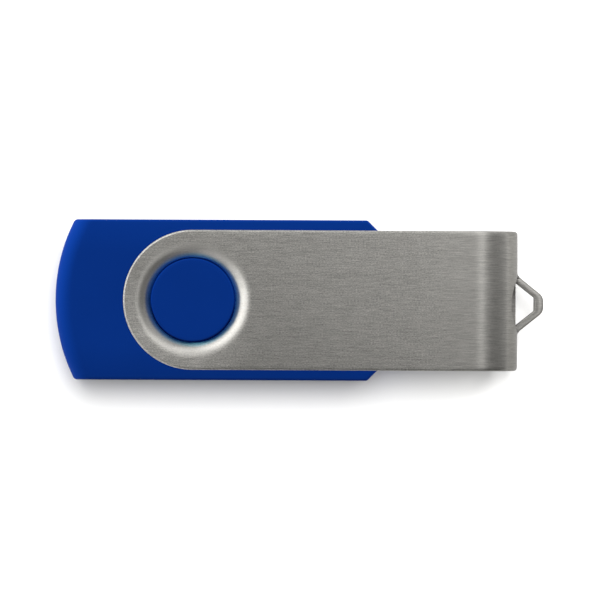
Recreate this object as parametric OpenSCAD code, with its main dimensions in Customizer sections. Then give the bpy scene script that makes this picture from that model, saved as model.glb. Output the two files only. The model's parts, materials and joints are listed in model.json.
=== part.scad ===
// Swivel USB flash drive: a two-shell plastic housing that holds the board and the USB-A plug,
// and a folded sheet-metal clip that turns about a round boss moulded into both shells.
// +X runs towards the plug and the cord loop, +Y across the width, +Z through the thickness.
// The origin is the centre of the bounding box at the clip's lower face.

/* [Housing] */
// Length from the rounded back end to the flat front face
housing_length = 39.6; // [39.3:0.1:40.6]
// Width across the two straight sides
housing_width = 19; // [18.8:0.1:20]
// Thickness of the two shells together
housing_thickness = 8.8; // [8.7:0.1:9.6]
// Wall thickness of both shells
wall = 1.2; // [1.1:0.05:1.3]
// Radius of the arc that forms the back end in plan
back_arc_radius = 21; // [19:0.5:24]
// Rounding of the upper and lower edges of the back end
back_edge_radius = 2; // [1.2:0.1:2.4]
// Radius of the corners where the back arc meets the straight sides
back_corner_radius = 0.6; // [0.4:0.1:1]
// Leg of the 45 degree chamfers at the two front corners
front_chamfer = 2.7; // [2.2:0.1:2.9]

/* [Swivel] */
// Distance from the back end to the swivel axis
pivot_from_back = 16.3; // [16:0.1:16.8]
// Radius of the moulded boss that the clip turns on
boss_radius = 4.9; // [4.5:0.1:5.1]
// Radial clearance between the boss and the rolled lip of the clip
swivel_clearance = 0.15; // [0.1:0.01:0.2]
// Gap between the clip's flat plates and the housing
plate_gap = 0.1; // [0.08:0.01:0.2]
// Depth of the ring groove around the boss
groove_depth = 1.15; // [1.1:0.05:1.25]
// Height of the boss above the housing's broad face
boss_rise = 0.7; // [0.3:0.05:0.8]

/* [Clip] */
// Thickness of the clip's sheet metal
clip_sheet = 0.8; // [0.7:0.05:0.85]
// Width of the clip
clip_width = 16.5; // [16:0.1:17]
// Distance from the swivel axis to the outer face of the folded end
clip_reach = 38.4; // [38.1:0.1:39]
// Outer radius of the two bends at the folded end
bend_radius = 3.9; // [3.5:0.1:4.2]
// Radius of the corners of the folded end in plan
fold_corner_radius = 0.4; // [0.2:0.1:0.6]
// Outer radius of the rolled lip around the boss
lip_roll = 1.85; // [1.75:0.05:1.95]

/* [Cord loop] */
// Distance that the loop stands out from the folded end
loop_reach = 3.1; // [2.8:0.1:3.5]
// Height of the strip that forms the loop
loop_height = 2; // [1.6:0.1:2.4]
// Width of the loop's two legs where they leave the folded end, outside to outside
loop_spread = 7; // [6.8:0.1:7.4]
// Length of the loop's flat tip, between the centres of its rounded corners
loop_tip = 0.7; // [0.5:0.1:0.9]
// Radius of the outer corners at the tip
loop_tip_radius = 1.2; // [0.9:0.1:1.3]
// Thickness of the loop's strip
loop_strip = 0.9; // [0.8:0.05:1]
// Distance of the loop from the clip's centre line, towards -Y
loop_offset = 0.35; // [0:0.05:0.4]
// Width of the opening in the folded end behind the loop
opening_width = 6.8; // [6.4:0.1:7]
// Reach of the opening above the middle of the folded end
opening_rise = 3.6; // [3.5:0.1:3.8]
// Reach of the opening below the middle of the folded end
opening_drop = 2; // [1.8:0.1:2.4]

/* [Plug] */
// Width of the plug's metal shell
plug_width = 12; // [11.9:0.05:12.1]
// Height of the plug's metal shell
plug_height = 4.5; // [4.4:0.05:4.6]
// Sheet thickness of the plug's metal shell
plug_sheet = 0.3; // [0.25:0.05:0.3]
// Length of the plug outside the housing
plug_exposed = 12; // [11.75:0.05:12.2]
// Length of the plug's metal shell inside the housing
plug_buried = 6.6; // [6.2:0.1:6.8]

/* [Board] */
// Thickness of the circuit board
board_thickness = 0.8; // [0.6:0.1:0.8]
// Width of the circuit board
board_width = 15.6; // [15.4:0.1:15.8]
// Distance from the housing's back end to the rear edge of the board
board_from_back = 4.4; // [4.35:0.05:4.8]

/* [Hidden] */

$fn = 120;
// Small overlap that keeps cuts and unions clean
cut = 0.05;

// Overall places, worked out from the driving dimensions
overall_length = pivot_from_back + clip_reach + loop_reach;
overall_thickness = housing_thickness + 2 * (plate_gap + clip_sheet);
mid_z = overall_thickness / 2;
back_x = -overall_length / 2;
pivot_x = back_x + pivot_from_back;
front_x = back_x + housing_length;
fold_x = pivot_x + clip_reach;
half_width = housing_width / 2;
half_thickness = housing_thickness / 2;
arc_centre_x = back_x + back_arc_radius;

// Ring groove, which the flare of the lip overhangs, and the plastic that is left around and under it
lip_hole_radius = boss_radius + swivel_clearance;
lip_outer_radius = lip_hole_radius + lip_roll;
lip_overhang = 0.3;
groove_radius = lip_outer_radius - lip_overhang;
well_wall = 0.8;
well_floor = 0.7;

// Plug, counted back from its tip
plug_tip_x = front_x + plug_exposed;
plug_rear_x = front_x - plug_buried;
plug_clearance = 0.05;
plug_corner = 0.5;
tongue_recess = 0.5;
mouth_depth = 9.8;
contact_width = 1;
contact_sheet = 0.3;
contact_joggle = 0.5;
contact_joggle_run = 0.8;
contact_tail = 2;
// Distance of each contact from the centre line, and how far its front stands behind the tip
power_y = 3.5;
data_y = 1;
power_start = 1.7;
data_start = 2.7;

// Board
board_gap = 0.3;
board_corner = 0.8;
board_top = mid_z - contact_sheet + contact_joggle;
board_bottom = board_top - board_thickness;
board_rear_x = back_x + board_from_back;
board_front_x = plug_rear_x - contact_joggle_run - board_gap;
board_length = board_front_x - board_rear_x;

// Legs of the plug's metal shell, soldered into slots in the board
leg_length = 1.2;
leg_margin = 0.4;
leg_height = 1.2;
leg_rear_x = board_front_x - leg_margin - leg_length;
leg_y = plug_width / 2 - plug_sheet;
leg_top = board_top + leg_height;

// Posts inside the shells: the board rests on one set, the other set joins the shells
board_post_radius = 0.8;
board_post_inset = 3.2;
board_post_x = [board_rear_x + board_post_inset, board_front_x - board_post_inset];
board_post_y = board_width / 2 - board_post_radius;
board_pin_radius = 0.4;
board_pin_stand = 0.6;
joint_post_radius = 1.1;
joint_post_places = [[back_x + 3.2, 6.3], [front_x - 4.6, 7.3]];
joint_pin_radius = 0.5;
joint_pin_length = 1.6;
socket_clearance = 0.06;
socket_depth = 0.2;
rib_thickness = 0.8;
rib_places = [front_x - 5.6, front_x - 2.4];

// Board parts: places are counted from the rear edge of the board
flash_x = board_rear_x + 12.7;
flash_length = 18.4;
flash_width = 12;
flash_height = 1;
controller_x = board_rear_x + 17.6;
controller_side = 7;
controller_height = 1.4;
chip_standoff = 0.1;
lead_width = 0.22;
lead_sheet = 0.12;
lead_pitch = 0.5;
lead_foot = 0.45;
crystal_x = board_rear_x + 8.6;
crystal_size = [5, 3.2];
crystal_base_height = 0.7;
crystal_lid_height = 0.4;
regulator_x = board_rear_x + 24.2;
// Width, length and height of the regulator's moulded body
regulator_size = [2.9, 1.3, 1];
led_x = board_rear_x + 1.6;
led_base_height = 0.25;
led_lens_height = 0.4;
chip_part_size = [1.6, 0.8];
chip_terminal = 0.3;
resistor_height = 0.45;
capacitor_height = 0.8;
resistor_places = [[24.2, -5.4], [24.2, -3.6], [24.2, 3.6], [24.2, 5.4]];
capacitor_places = [[10, -5.6], [12.4, 5.4], [24, -5.2], [24, 5.2]];

housing_colour = [0.03, 0.2, 0.52];
steel_colour = [0.55, 0.55, 0.53];
plug_colour = [0.72, 0.72, 0.74];
gold_colour = [0.85, 0.68, 0.32];
tin_colour = [0.75, 0.76, 0.78];
chip_colour = [0.09, 0.09, 0.1];

// ---------------------------------------------------------------- housing shells

// Draws its children on both sides of the centre line.
module both_sides() {
    children();
    mirror([0, 1, 0]) children();
}

// Straight sides and chamfered front of the housing in plan, or the same moved inwards by inset.
// It runs on past the back arc.
module sides_and_front(inset = 0) {
    reach = half_width - inset;
    front = front_x - inset;
    leg = front_chamfer - inset * (2 - sqrt(2));
    polygon([
        [back_x - 1, -reach], [front - leg, -reach], [front, -reach + leg],
        [front, reach - leg], [front - leg, reach], [back_x - 1, reach]
    ]);
}

// Whole plan outline of the housing, moved inwards by inset.
module inner_outline(inset) {
    intersection() {
        sides_and_front(inset);
        union() {
            translate([arc_centre_x, 0]) circle(r = back_arc_radius - inset);
            translate([arc_centre_x, -housing_width]) square([housing_length, 2 * housing_width]);
        }
    }
}

// What the rounding takes off the corner between the back arc and the side at +Y.
module back_corner_waste() {
    round_y = half_width - back_corner_radius;
    round_r = back_arc_radius - back_corner_radius;
    round_x = arc_centre_x - sqrt(pow(round_r, 2) - pow(round_y, 2));
    touch = [round_x - arc_centre_x, round_y] * back_arc_radius / round_r;
    difference() {
        polygon([
            [round_x, round_y], [arc_centre_x + touch[0], touch[1]],
            [round_x - back_corner_radius, half_width + cut], [round_x, half_width + cut]
        ]);
        translate([round_x, round_y]) circle(r = back_corner_radius);
    }
}

// Outer half of the housing, standing on its parting plane. The back end is part of a large
// disc with a rounded rim.
module half_blank() {
    intersection() {
        linear_extrude(half_thickness) difference() {
            sides_and_front();
            both_sides() back_corner_waste();
        }
        union() {
            translate([arc_centre_x, 0, 0]) rotate_extrude() rounded_rim();
            translate([arc_centre_x, -housing_width, -cut])
                cube([housing_length, 2 * housing_width, housing_thickness]);
        }
    }
}

// Half section of a disc with a rounded upper rim.
module rounded_rim() {
    square([back_arc_radius, half_thickness - back_edge_radius]);
    square([back_arc_radius - back_edge_radius, half_thickness]);
    translate([back_arc_radius - back_edge_radius, half_thickness - back_edge_radius])
        circle(r = back_edge_radius);
}

// Space inside one half. The well under the ring groove stays solid.
module half_cavity() {
    well_bottom = half_thickness - groove_depth - well_floor;
    difference() {
        translate([0, 0, -cut]) linear_extrude(half_thickness - wall + cut) inner_outline(wall);
        translate([pivot_x, 0, well_bottom]) cylinder(r = groove_radius + well_wall, h = half_thickness);
    }
}

// Ring groove around the boss, which the rolled lip of the clip runs in.
module ring_groove() {
    translate([pivot_x, 0, half_thickness - groove_depth]) difference() {
        cylinder(r = groove_radius, h = groove_depth + cut);
        translate([0, 0, -cut]) cylinder(r = boss_radius, h = groove_depth + 3 * cut);
    }
}

// Block that fills the plug's window and the space it takes between the ribs.
module plug_space() {
    size = [plug_exposed + plug_buried, plug_width + 2 * plug_clearance, plug_height + 2 * plug_clearance];
    translate([front_x, 0, 0]) cube(size, center = true);
}

// Ribs inside one half that hold the plug's metal shell.
module plug_ribs() {
    for (x = rib_places) intersection() {
        translate([x, -half_width, 0]) cube([rib_thickness, housing_width, half_thickness - wall + cut]);
        linear_extrude(half_thickness) inner_outline(wall - cut);
    }
}

// One half of the housing on its parting plane. Board posts end at post_start.
module shell_half(post_start) {
    difference() {
        union() {
            difference() {
                half_blank();
                half_cavity();
            }
            translate([pivot_x, 0, half_thickness - cut])
                cylinder(r = boss_radius, h = boss_rise + cut);
            plug_ribs();
            for (place = joint_post_places) both_sides()
                translate([place[0], place[1], 0])
                    cylinder(r = joint_post_radius, h = half_thickness - wall + cut);
            for (x = board_post_x) both_sides()
                translate([x, board_post_y, post_start])
                    cylinder(r = board_post_radius, h = half_thickness - wall + cut - post_start);
        }
        ring_groove();
        plug_space();
    }
}

// Upper shell, with sockets for the pins of the lower one.
module upper_shell() {
    color(housing_colour) translate([0, 0, mid_z]) difference() {
        shell_half(board_top - mid_z);
        for (place = joint_post_places) both_sides()
            translate([place[0], place[1], -cut])
                cylinder(r = joint_pin_radius + socket_clearance, h = joint_pin_length + socket_depth);
        both_sides() translate([board_post_x[0], board_post_y, 0])
            cylinder(
                r = board_pin_radius + socket_clearance,
                h = board_top - mid_z + board_pin_stand + socket_depth
            );
    }
}

// Lower shell, with pins that locate the upper shell and the board.
module lower_shell() {
    color(housing_colour) {
        translate([0, 0, mid_z]) mirror([0, 0, 1]) shell_half(mid_z - board_bottom);
        for (place = joint_post_places) both_sides()
            translate([place[0], place[1], mid_z - cut])
                cylinder(r = joint_pin_radius, h = joint_pin_length + cut);
        both_sides() translate([board_post_x[0], board_post_y, board_bottom - cut])
            cylinder(r = board_pin_radius, h = board_thickness + cut + board_pin_stand);
    }
}

// ---------------------------------------------------------------- swivel clip

// Plan outline of the clip: a round end on the swivel axis and a square folded end.
module clip_outline() {
    side_y = clip_width / 2 - fold_corner_radius;
    corner_x = fold_x - fold_corner_radius;
    translate([pivot_x, 0]) circle(r = clip_width / 2);
    translate([pivot_x, -clip_width / 2]) square([corner_x - pivot_x, clip_width]);
    translate([pivot_x, -side_y]) square([clip_reach, 2 * side_y]);
    for (side = [-1, 1]) translate([corner_x, side * side_y]) circle(r = fold_corner_radius);
}

// Side section of the folded strip, or of the space inside it when inset by the sheet.
module fold_section(inset) {
    radius = bend_radius - inset;
    start = pivot_x - clip_width;
    translate([start, inset])
        square([fold_x - bend_radius - start, overall_thickness - 2 * inset]);
    translate([start, bend_radius])
        square([fold_x - inset - start, overall_thickness - 2 * bend_radius]);
    for (z = [bend_radius, overall_thickness - bend_radius])
        translate([fold_x - bend_radius, z]) circle(r = radius);
}

// Rolled lip around the boss in the upper plate: a quarter turn of the sheet, pressed inwards.
module rolled_lip() {
    translate([pivot_x, 0, overall_thickness - lip_roll]) rotate_extrude() {
        intersection() {
            translate([lip_outer_radius, 0]) difference() {
                circle(r = lip_roll);
                circle(r = lip_roll - clip_sheet);
            }
            translate([lip_hole_radius, 0]) square(lip_roll);
        }
        translate([lip_outer_radius - cut, lip_roll - clip_sheet])
            square([3 * cut, clip_sheet]);
    }
}

// Outer edge of the loop in plan, from the folded end to its rounded tip.
module loop_outside() {
    centre = [loop_reach - loop_tip_radius, loop_tip / 2];
    root = [0, loop_spread / 2];
    run = centre - root;
    lean = atan2(-run[1], run[0]) - asin(loop_tip_radius / norm(run));
    touch = centre + loop_tip_radius * [sin(lean), cos(lean)];
    both_sides() {
        polygon([[-clip_sheet, 0], [-clip_sheet, root[1]], root, touch, [centre[0], 0]]);
        translate(centre) circle(r = loop_tip_radius);
    }
    translate([0, -loop_tip / 2]) square([loop_reach, loop_tip]);
}

// Eye of the loop in plan: a trapezoid that is open towards the inside of the clip.
module loop_eye() {
    lean = atan2(loop_spread / 2 - loop_tip / 2 - loop_tip_radius / 2, loop_reach);
    root = loop_spread / 2 - loop_strip / cos(lean);
    // The strip is a little thicker at the tip, where it is drawn over the press tool
    tip_growth = 0.2;
    tip_x = loop_reach - loop_strip - tip_growth;
    tip_y = root - tip_x * tan(lean);
    back_y = root + (clip_sheet + cut) * tan(lean);
    polygon([
        [-clip_sheet - cut, -back_y], [tip_x, -tip_y],
        [tip_x, tip_y], [-clip_sheet - cut, back_y]
    ]);
}

// Opening in the folded end: a half circle above the loop, a rounded rectangle below it.
module fold_opening() {
    radius = opening_width / 2;
    rise = opening_rise - radius;
    corner = 1;
    translate([fold_x - bend_radius, -loop_offset, mid_z]) rotate([90, 0, 90])
        linear_extrude(bend_radius + cut) {
            intersection() {
                translate([0, rise]) circle(r = radius);
                translate([-radius, rise]) square([opening_width, radius]);
            }
            translate([-radius, corner - opening_drop])
                square([opening_width, rise + opening_drop - corner + cut]);
            translate([corner - radius, -opening_drop])
                square([opening_width - 2 * corner, 2 * corner]);
            for (side = [-1, 1])
                translate([side * (radius - corner), corner - opening_drop]) circle(r = corner);
        }
}

module swivel_clip() {
    color(steel_colour) {
        difference() {
            intersection() {
                linear_extrude(overall_thickness) clip_outline();
                rotate([90, 0, 0]) linear_extrude(2 * clip_width, center = true) difference() {
                    fold_section(0);
                    fold_section(clip_sheet);
                }
            }
            translate([pivot_x, 0, -cut])
                cylinder(r = lip_outer_radius + cut, h = overall_thickness + 2 * cut);
            fold_opening();
        }
        rolled_lip();
        translate([0, 0, overall_thickness]) mirror([0, 0, 1]) rolled_lip();
        translate([fold_x, -loop_offset, mid_z]) linear_extrude(loop_height, center = true)
            difference() {
                loop_outside();
                loop_eye();
            }
    }
}

// ---------------------------------------------------------------- plug

// Windows in the broad faces of the plug's shell, which the socket's springs catch in.
module plug_windows() {
    window = [1.95, 2.5];
    window_start = 5.16;
    window_spacing = 5.12;
    both_sides() translate([plug_tip_x - window_start - window[0], (window_spacing - window[1]) / 2, 0])
        cube([window[0], window[1], overall_thickness]);
}

module plug_shell() {
    length = plug_exposed + plug_buried;
    inner_width = plug_width - 2 * plug_sheet;
    inner_height = plug_height - 2 * plug_sheet;
    leg_foot = 0.3;
    color(plug_colour) {
        difference() {
            translate([plug_rear_x, 0, mid_z]) rotate([90, 0, 90]) linear_extrude(length) difference() {
                rounded_rectangle(plug_width, plug_height, plug_corner);
                rounded_rectangle(inner_width, inner_height, plug_corner / 2);
            }
            plug_windows();
        }
        both_sides() translate([0, leg_y, 0]) {
            translate([leg_rear_x, 0, board_top])
                cube([plug_rear_x + cut - leg_rear_x, plug_sheet, leg_height]);
            translate([leg_rear_x, 0, board_bottom - leg_foot])
                cube([leg_length, plug_sheet, leg_top - board_bottom + leg_foot]);
        }
    }
}

// Rectangle about the origin with rounded corners.
module rounded_rectangle(width, height, radius) {
    square([width - 2 * radius, height], center = true);
    square([width, height - 2 * radius], center = true);
    for (x = [-1, 1], y = [-1, 1])
        translate([x * (width / 2 - radius), y * (height / 2 - radius)]) circle(r = radius);
}

// Moulding that fills the rear of the plug's shell and runs forward as a tongue of half height.
module plug_insulator() {
    inner_width = plug_width - 2 * plug_sheet - 2 * plug_clearance;
    inner_height = plug_height - 2 * plug_sheet - 2 * plug_clearance;
    tongue_front = plug_tip_x - tongue_recess;
    block_front = plug_tip_x - mouth_depth;
    color([0.12, 0.12, 0.13]) difference() {
        translate([plug_rear_x, 0, mid_z]) rotate([90, 0, 90])
            linear_extrude(tongue_front - plug_rear_x)
                rounded_rectangle(inner_width, inner_height, plug_corner);
        translate([block_front, -plug_width / 2, mid_z]) cube([mouth_depth, plug_width, plug_height]);
        for (y = [-power_y, power_y]) contact_slot(y, power_start);
        for (y = [-data_y, data_y]) contact_slot(y, data_start);
    }
}

// Slot in the insulator for one contact, open at the mouth and at the rear.
module contact_slot(y, start) {
    play = 0.02;
    width = contact_width + 2 * play;
    length = plug_tip_x - start + play - plug_rear_x + cut;
    translate([plug_rear_x - cut, y - width / 2, mid_z - contact_sheet - play])
        cube([length, width, contact_sheet + 2 * play]);
}

// One contact spring: flat in the mouth, stepped up behind the insulator, flat on the board.
module contact(y, start) {
    nose = 0.15;
    tip = plug_tip_x - start;
    step_x = plug_rear_x;
    rest_x = plug_rear_x - contact_joggle_run;
    tail_x = rest_x - contact_tail;
    under = mid_z - contact_sheet;
    color(gold_colour) translate([0, y + contact_width / 2, 0]) rotate([90, 0, 0])
        linear_extrude(contact_width) polygon([
            [tip, under], [tip, mid_z - nose], [tip - nose, mid_z], [step_x, mid_z],
            [rest_x, mid_z + contact_joggle], [tail_x, mid_z + contact_joggle],
            [tail_x, board_top], [rest_x, board_top], [step_x, under]
        ]);
}

module power_contact() contact(-power_y, power_start);
module data_minus_contact() contact(-data_y, data_start);
module data_plus_contact() contact(data_y, data_start);
module ground_contact() contact(power_y, power_start);

// ---------------------------------------------------------------- board

module circuit_board() {
    slot_play = 0.1;
    color([0.05, 0.35, 0.16]) difference() {
        translate([board_rear_x, 0, board_bottom]) linear_extrude(board_thickness) polygon([
            [0, -board_width / 2 + board_corner], [board_corner, -board_width / 2],
            [board_length, -board_width / 2], [board_length, board_width / 2],
            [board_corner, board_width / 2], [0, board_width / 2 - board_corner]
        ]);
        both_sides() {
            translate([board_post_x[0], board_post_y, board_bottom - cut])
                cylinder(r = board_pin_radius + socket_clearance, h = board_thickness + 2 * cut);
            translate([leg_rear_x - slot_play, leg_y - slot_play, board_bottom - cut])
                cube([leg_length + 2 * slot_play, plug_sheet + 2 * slot_play, board_thickness + 2 * cut]);
        }
    }
}

// Solder: one fillet behind each contact's tail, and one each side of each shell leg.
module solder_joints() {
    tail_x = plug_rear_x - contact_joggle_run - contact_tail;
    fillet = contact_sheet;
    color(tin_colour) {
        for (y = [-power_y, -data_y, data_y, power_y])
            translate([tail_x, y + contact_width / 2, board_top]) rotate([90, 0, 0])
                linear_extrude(contact_width) polygon([[0, 0], [0, fillet], [-fillet, 0]]);
        both_sides() for (side = [-1, 1])
            translate([leg_rear_x, leg_y + plug_sheet / 2, board_bottom]) rotate([90, 0, 90])
                linear_extrude(leg_length) polygon([
                    [side * plug_sheet / 2, 0], [side * (plug_sheet / 2 + fillet), 0],
                    [side * plug_sheet / 2, -fillet]
                ]);
    }
}

// ---------------------------------------------------------------- board parts

// Moves its children to a place on the board, upside down when below is true.
module on_board(x, y = 0, below = false) {
    translate([x, y, below ? board_bottom : board_top]) mirror([0, 0, below ? 1 : 0]) children();
}

// Moulded chip body that stands clear of the board.
module chip_body(length, width, height) {
    translate([-length / 2, -width / 2, chip_standoff]) cube([length, width, height]);
}

// One gull-wing lead: leaves the chip at half height, steps down and lies on the board.
module gull_lead(height, reach) {
    shoulder = (reach - lead_foot) / 2;
    level = chip_standoff + height / 2;
    translate([0, lead_width / 2, 0]) rotate([90, 0, 0]) linear_extrude(lead_width) polygon([
        [0, level + lead_sheet], [shoulder, level + lead_sheet],
        [reach - lead_foot + lead_sheet, lead_sheet], [reach, lead_sheet], [reach, 0],
        [reach - lead_foot, 0], [shoulder - lead_sheet, level], [0, level]
    ]);
}

// A row of leads along one side of a chip body that ends at edge.
module lead_row(count, pitch, edge, height, reach) {
    for (i = [0 : count - 1])
        translate([edge, (i - (count - 1) / 2) * pitch, 0]) gull_lead(height, reach);
}

module flash_package() {
    color(chip_colour) on_board(flash_x) chip_body(flash_length, flash_width, flash_height);
}

module flash_leads() {
    leads_per_end = 24;
    reach = 0.8;
    color(tin_colour) on_board(flash_x) for (turn = [0, 180]) rotate(turn)
        lead_row(leads_per_end, lead_pitch, flash_length / 2, flash_height, reach);
}

module controller_package() {
    color(chip_colour) on_board(controller_x, below = true)
        chip_body(controller_side, controller_side, controller_height);
}

module controller_leads() {
    leads_per_side = 12;
    reach = 1;
    color(tin_colour) on_board(controller_x, below = true) for (turn = [0 : 90 : 270]) rotate(turn)
        lead_row(leads_per_side, lead_pitch, controller_side / 2, controller_height, reach);
}

module crystal_base() {
    color([0.75, 0.72, 0.66]) on_board(crystal_x, below = true)
        translate([0, 0, crystal_base_height / 2])
            cube([crystal_size[0], crystal_size[1], crystal_base_height], center = true);
}

module crystal_lid() {
    rim = 0.2;
    color(plug_colour) on_board(crystal_x, below = true)
        translate([0, 0, crystal_base_height]) linear_extrude(crystal_lid_height)
            rounded_rectangle(crystal_size[0] - 2 * rim, crystal_size[1] - 2 * rim, 2 * rim);
}

module regulator_package() {
    color(chip_colour) on_board(regulator_x, below = true)
        chip_body(regulator_size[1], regulator_size[0], regulator_size[2]);
}

module regulator_leads() {
    pitch = 1.9;
    reach = 0.6;
    edge = regulator_size[1] / 2;
    color(tin_colour) on_board(regulator_x, below = true) {
        lead_row(2, pitch, edge, regulator_size[2], reach);
        rotate(180) lead_row(1, pitch, edge, regulator_size[2], reach);
    }
}

module led_base() {
    color([0.9, 0.89, 0.84]) on_board(led_x)
        translate([-chip_part_size[1] / 2, -chip_part_size[0] / 2, 0])
            cube([chip_part_size[1], chip_part_size[0], led_base_height]);
}

module led_lens() {
    lens_length = 1;
    lens_corner = 0.1;
    color([0.75, 0.85, 0.95]) on_board(led_x) translate([0, 0, led_base_height]) rotate(90)
        linear_extrude(led_lens_height) rounded_rectangle(lens_length, chip_part_size[1], lens_corner);
}

// Places chip resistors or capacitors, given as distances from the board's rear edge.
module chip_parts(places, below) {
    for (place = places) on_board(board_rear_x + place[0], place[1], below) children();
}

// Ceramic body of a chip part, between its two terminals.
module chip_part_body(height) {
    length = chip_part_size[0] - 2 * chip_terminal;
    translate([-length / 2, -chip_part_size[1] / 2, 0]) cube([length, chip_part_size[1], height]);
}

// The two plated terminals of a chip part.
module chip_part_terminals(height) {
    for (turn = [0, 180]) rotate(turn)
        translate([chip_part_size[0] / 2 - chip_terminal, -chip_part_size[1] / 2, 0])
            cube([chip_terminal, chip_part_size[1], height]);
}

module resistor_bodies() {
    color(chip_colour) chip_parts(resistor_places, false) chip_part_body(resistor_height);
}

module resistor_terminals() {
    color(tin_colour) chip_parts(resistor_places, false) chip_part_terminals(resistor_height);
}

module capacitor_bodies() {
    color([0.62, 0.47, 0.32]) chip_parts(capacitor_places, true) chip_part_body(capacitor_height);
}

module capacitor_terminals() {
    color(tin_colour) chip_parts(capacitor_places, true) chip_part_terminals(capacitor_height);
}

upper_shell();
lower_shell();
swivel_clip();
plug_shell();
plug_insulator();
power_contact();
data_minus_contact();
data_plus_contact();
ground_contact();
circuit_board();
solder_joints();
flash_package();
flash_leads();
controller_package();
controller_leads();
crystal_base();
crystal_lid();
regulator_package();
regulator_leads();
led_base();
led_lens();
resistor_bodies();
resistor_terminals();
capacitor_bodies();
capacitor_terminals();
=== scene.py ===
"""Looks of a swivel USB flash drive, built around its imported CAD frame: the brushed steel clip, the
blue moulded housing, the plug and the parts on the board, on a pale floor in soft studio light."""

import json
import math

import bmesh
import bpy
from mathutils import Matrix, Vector

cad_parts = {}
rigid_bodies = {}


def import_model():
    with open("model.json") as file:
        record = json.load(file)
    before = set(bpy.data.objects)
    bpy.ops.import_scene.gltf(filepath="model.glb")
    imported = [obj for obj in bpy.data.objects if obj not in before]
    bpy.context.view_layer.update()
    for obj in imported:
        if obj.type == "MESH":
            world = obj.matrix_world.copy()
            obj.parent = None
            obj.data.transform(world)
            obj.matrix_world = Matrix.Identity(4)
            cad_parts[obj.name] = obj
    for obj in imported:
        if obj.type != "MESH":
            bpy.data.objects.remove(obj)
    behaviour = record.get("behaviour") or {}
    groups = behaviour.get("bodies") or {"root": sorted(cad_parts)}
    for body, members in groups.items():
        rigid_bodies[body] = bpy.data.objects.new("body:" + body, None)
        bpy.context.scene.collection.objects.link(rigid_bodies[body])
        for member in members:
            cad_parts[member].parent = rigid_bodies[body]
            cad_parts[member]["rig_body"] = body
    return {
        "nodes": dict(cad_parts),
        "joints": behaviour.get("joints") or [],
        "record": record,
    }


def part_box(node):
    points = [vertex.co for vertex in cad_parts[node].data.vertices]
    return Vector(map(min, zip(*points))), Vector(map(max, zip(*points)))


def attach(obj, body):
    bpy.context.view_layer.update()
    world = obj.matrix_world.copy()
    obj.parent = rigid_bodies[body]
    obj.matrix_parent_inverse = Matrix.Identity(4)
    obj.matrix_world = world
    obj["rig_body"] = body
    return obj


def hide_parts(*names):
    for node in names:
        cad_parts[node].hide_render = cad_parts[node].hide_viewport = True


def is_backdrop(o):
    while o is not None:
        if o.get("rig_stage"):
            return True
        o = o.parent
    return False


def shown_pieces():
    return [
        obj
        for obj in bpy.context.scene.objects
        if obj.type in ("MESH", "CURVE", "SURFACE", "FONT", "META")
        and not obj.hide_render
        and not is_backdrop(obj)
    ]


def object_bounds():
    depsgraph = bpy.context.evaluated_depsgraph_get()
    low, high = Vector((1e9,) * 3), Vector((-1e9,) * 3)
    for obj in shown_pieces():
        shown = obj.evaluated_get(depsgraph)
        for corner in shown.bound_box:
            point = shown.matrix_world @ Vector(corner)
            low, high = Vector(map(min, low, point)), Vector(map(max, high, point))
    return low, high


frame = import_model()
cad_low, cad_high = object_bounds()

MM = 0.001
TAU = 2 * math.pi

# Places read from the frame
clip_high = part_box("swivel_clip")[1]
upper_low, upper_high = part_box("upper_shell")
pivot = Vector(frame["joints"][0]["pos_m"])
top_z = clip_high.z
mid_z = pivot.z
back_x = upper_low.x
front_x = upper_high.x
housing_half_width = upper_high.y
# The boss stands this far above the broad face
BOSS_RISE = 0.7 * MM
housing_top = upper_high.z - BOSS_RISE

# Clip: sheet, folded end, rolled lip and cord loop, as in the CAD source
PLATE_GAP = 0.1 * MM
sheet = top_z - housing_top - PLATE_GAP
clip_half_width = clip_high.y
LOOP_REACH = 3.1 * MM
fold_x = clip_high.x - LOOP_REACH
BEND_FALL = 3.9 * MM
BEND_RAMP = 0.44
LIP_HOLE_RADIUS = 5.05 * MM
LIP_OUTER_RADIUS = 7.0 * MM
LIP_DEPTH = 1.85 * MM
LIP_RAMP = 0.36
LOOP_Y = -0.35 * MM
LOOP_HALF_HEIGHT = 1.0 * MM
LOOP_ROOT = 3.4 * MM
LOOP_TIP_HALF = 0.35 * MM
LOOP_TIP_RADIUS = 1.2 * MM
LOOP_TIP_THICKNESS = 1.1 * MM
LOOP_FILLET = 0.9 * MM
LOOP_INNER_RADIUS = 0.15 * MM
# The pull of the loop's root on the end wall ends at this share of the loop's height
ROOT_FADE_END = 1.7
OPENING_HALF_WIDTH = 3.4 * MM
OPENING_RISE = 3.6 * MM
OPENING_DROP = 2.0 * MM
# How square the opening is below the loop: 2 would be an ellipse
OPENING_SQUARENESS = 9

# Housing, as in the CAD source
BOSS_RADIUS = 4.9 * MM
GROOVE_RADIUS = 6.6 * MM
GROOVE_DEPTH = 1.15 * MM
BACK_ARC_RADIUS = 21 * MM
BACK_EDGE_RADIUS = 2 * MM
BACK_CORNER_RADIUS = 0.6 * MM
FRONT_CHAMFER = 2.7 * MM
# How far the finished skin lies inside the CAD one, which keeps the two from touching
SKIN = 0.03 * MM

# Points of one mesh closer than this are joined
WELD = 0.001 * MM
CLIP_WELD = 0.002 * MM
# Places of a grid closer than this count as one
SAME = 0.01 * MM


# ---------------------------------------------------------------- mesh helpers

def finish_mesh(bm, name):
    """Turns a bmesh into an object, smooth except across sharp angles."""
    bmesh.ops.recalc_face_normals(bm, faces=bm.faces)
    mesh = bpy.data.meshes.new(name)
    bm.to_mesh(mesh)
    bm.free()
    obj = bpy.data.objects.new(name, mesh)
    bpy.context.scene.collection.objects.link(obj)
    shade_smooth(mesh)
    return obj


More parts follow.
